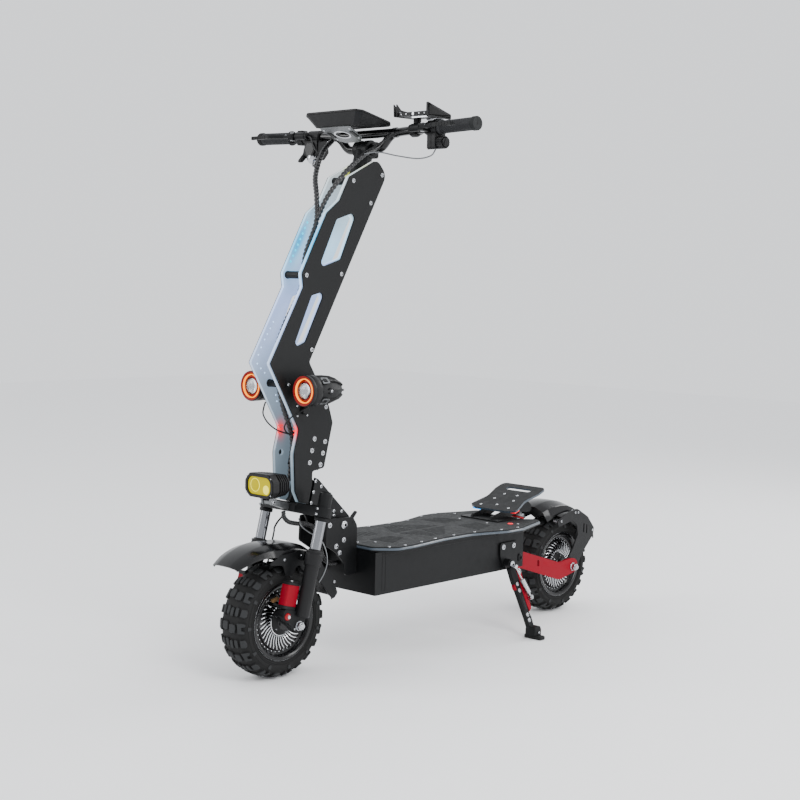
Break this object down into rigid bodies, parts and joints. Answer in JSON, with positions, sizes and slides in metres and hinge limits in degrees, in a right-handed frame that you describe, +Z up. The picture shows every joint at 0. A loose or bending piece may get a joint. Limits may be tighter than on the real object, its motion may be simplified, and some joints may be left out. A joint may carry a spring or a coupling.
{
  "type": "electric kick scooter",
  "caption": "Off-road electric kick scooter with a telescopic fork, swing arm, lit stem panels, lamps and a raised foot plate.",
  "frame": {"origin": "on the floor under the middle of the overall length, on the middle plane", "axes": "+Z up, -Y forward (the way it rides), +X towards the scooter's left side"},
  "size_m": [0.7856, 1.4662, 1.4359],
  "materials": {
    "black_alloy": "satin black anodised",
    "black_steel": "satin black powder coat",
    "gloss_black": "glossy",
    "black_plastic": "fine matt",
    "red_alloy": "satin red anodised",
    "red_spring": "gloss red",
    "bright_steel": "polished",
    "disc_steel": "brushed",
    "hub_alloy": "machined",
    "tyre": "dull",
    "rubber": "dull",
    "clear_panel": "clear, lit from its edges",
    "battery_wrap": "shrink wrap"
  },
  "bodies": {
    "chassis": {"deck_case": "black_alloy", "deck_plate": "black_alloy", "grip_mat": "rubber", "battery_pack": "battery_wrap", "motor_controller": "hub_alloy", "neck_bracket": "black_alloy", "fold_pivot_bolt": "bright_steel", "arm_pivot_shaft": "bright_steel", "footrest_plate": "black_alloy", "footrest_support": "black_alloy"},
    "front_frame": {"neck_frame": "black_alloy", "front_harness": "rubber"},
    "fold_lever": {"fold_lever": "black_alloy"},
    "steering": {"fork_crown": "black_alloy", "stanchion_left": "bright_steel", "stanchion_right": "bright_steel", "stem_clamp_block": "black_alloy", "stem_plate_left": "black_alloy", "stem_plate_right": "black_alloy", "light_panel_left": "clear_panel", "light_panel_right": "clear_panel", "cross_rod_upper": "black_alloy", "cross_rod_middle": "black_alloy", "lamp_bar": "black_alloy", "stem_top_block": "black_alloy", "handlebar": "black_alloy", "grip_left": "rubber", "grip_right": "rubber", "dashboard": "black_plastic", "switch_pod_left": "black_plastic", "throttle_pod_right": "black_plastic", "phone_holder": "black_plastic", "bar_harness": "rubber"},
    "fork_lowers": {"fork_lower_left": "black_alloy", "fork_lower_right": "black_alloy", "front_axle": "bright_steel", "front_fender": "gloss_black", "canister_left": "red_alloy", "canister_right": "red_alloy"},
    "front_wheel": {"front_tyre": "tyre", "front_hub_motor": "hub_alloy", "front_brake_disc": "disc_steel"},
    "swing_arm": {"swing_arm": "red_alloy", "rear_axle": "bright_steel", "rear_fender": "gloss_black"},
    "rear_wheel": {"rear_tyre": "tyre", "rear_hub_motor": "hub_alloy", "rear_brake_disc": "disc_steel"},
    "shock_upper": {"shock_body": "bright_steel"},
    "shock_lower": {"shock_rod": "bright_steel", "shock_spring": "red_spring"},
    "kickstand": {"kickstand_leg": "black_alloy"},
    "brake_lever_left": {"brake_lever_left": "black_alloy"},
    "brake_lever_right": {"brake_lever_right": "black_alloy"},
    "throttle_trigger": {"throttle_trigger": "black_plastic"},
    "horn_button": {"horn_button": "black_plastic"},
    "headlamp": {"headlamp": "black_plastic"},
    "side_lamp_left": {"side_lamp_left": "black_plastic"},
    "side_lamp_right": {"side_lamp_right": "black_plastic"},
    "phone_jaw": {"phone_jaw": "black_plastic"}
  },
  "joints": [
    {"name": "fold_hinge", "type": "hinge", "parent": "chassis", "child": "front_frame", "pos_m": [0, -0.373, 0.369], "axis": [-1, 0, 0], "range_deg": [0, 70]},
    {"name": "fold_lever_hinge", "type": "hinge", "parent": "chassis", "child": "fold_lever", "pos_m": [0.03, -0.34, 0.372], "axis": [-1, 0, 0], "range_deg": [0, 20], "stiffness_Nm_per_rad": 0.6, "springref_deg": -17.19},
    {"name": "steering", "type": "hinge", "parent": "front_frame", "child": "steering", "pos_m": [0, -0.57, 0.145], "axis": [0, 0.2487, 0.9686], "range_deg": [-30, 30]},
    {"name": "fork_slide", "type": "slide", "parent": "steering", "child": "fork_lowers", "axis": [0, 0.2487, 0.9686], "range_m": [0, 0.03], "stiffness_N_per_m": 10000, "springref_m": -0.04},
    {"name": "front_wheel_spin", "type": "hinge", "parent": "fork_lowers", "child": "front_wheel", "pos_m": [0, -0.57, 0.145], "axis": [1, 0, 0], "continuous": true},
    {"name": "swing_arm_hinge", "type": "hinge", "parent": "chassis", "child": "swing_arm", "pos_m": [0, 0.273, 0.214], "axis": [1, 0, 0], "range_deg": [0, 7], "stiffness_Nm_per_rad": 600, "springref_deg": -10.31},
    {"name": "rear_wheel_spin", "type": "hinge", "parent": "swing_arm", "child": "rear_wheel", "pos_m": [0, 0.57, 0.145], "axis": [1, 0, 0], "continuous": true},
    {"name": "shock_hinge", "type": "hinge", "parent": "chassis", "child": "shock_upper", "pos_m": [0, 0.415, 0.333], "axis": [1, 0, 0], "range_deg": [-2, 2]},
    {"name": "shock_slide", "type": "slide", "parent": "shock_upper", "child": "shock_lower", "axis": [0, 0.2808, 0.9598], "range_m": [-0.001, 0.014], "deforming": ["shock_spring"]},
    {"name": "kickstand_hinge", "type": "hinge", "parent": "chassis", "child": "kickstand", "pos_m": [0.141, 0.205, 0.207], "axis": [1, 0, 0], "range_deg": [0, 78]},
    {"name": "headlamp_tilt", "type": "hinge", "parent": "steering", "child": "headlamp", "pos_m": [0, -0.588, 0.444], "axis": [1, 0, 0], "range_deg": [-8, 8]},
    {"name": "side_lamp_left_tilt", "type": "hinge", "parent": "steering", "child": "side_lamp_left", "pos_m": [0.0975, -0.52, 0.715], "axis": [1, 0, 0], "range_deg": [-12, 12]},
    {"name": "side_lamp_right_tilt", "type": "hinge", "parent": "steering", "child": "side_lamp_right", "pos_m": [-0.0975, -0.52, 0.715], "axis": [1, 0, 0], "range_deg": [-12, 12]},
    {"name": "brake_lever_left_hinge", "type": "hinge", "parent": "steering", "child": "brake_lever_left", "pos_m": [0.236, -0.3118, 1.37668], "axis": [0, 0, 1], "range_deg": [0, 14], "stiffness_Nm_per_rad": 0.6, "springref_deg": -22.92},
    {"name": "brake_lever_right_hinge", "type": "hinge", "parent": "steering", "child": "brake_lever_right", "pos_m": [-0.236, -0.3118, 1.37668], "axis": [0, 0, -1], "range_deg": [0, 14], "stiffness_Nm_per_rad": 0.6, "springref_deg": -22.92},
    {"name": "throttle_hinge", "type": "hinge", "parent": "steering", "child": "throttle_trigger", "pos_m": [-0.209, -0.28112, 1.34144], "axis": [1, 0, 0], "range_deg": [0, 25], "stiffness_Nm_per_rad": 0.15, "springref_deg": -28.65},
    {"name": "horn_button_slide", "type": "slide", "parent": "steering", "child": "horn_button", "axis": [0, -1, 0], "range_m": [0, 0.0015], "stiffness_N_per_m": 400, "springref_m": -0.002},
    {"name": "phone_jaw_slide", "type": "slide", "parent": "steering", "child": "phone_jaw", "axis": [1, 0, 0], "range_m": [0, 0.015], "stiffness_N_per_m": 300, "springref_m": -0.02}
  ],
  "couplings": [
    {"joint": "shock_hinge", "follows": "swing_arm_hinge", "ratio": -0.040535},
    {"joint": "shock_slide", "follows": "swing_arm_hinge", "m_per_rad": 0.10266}
  ]
}
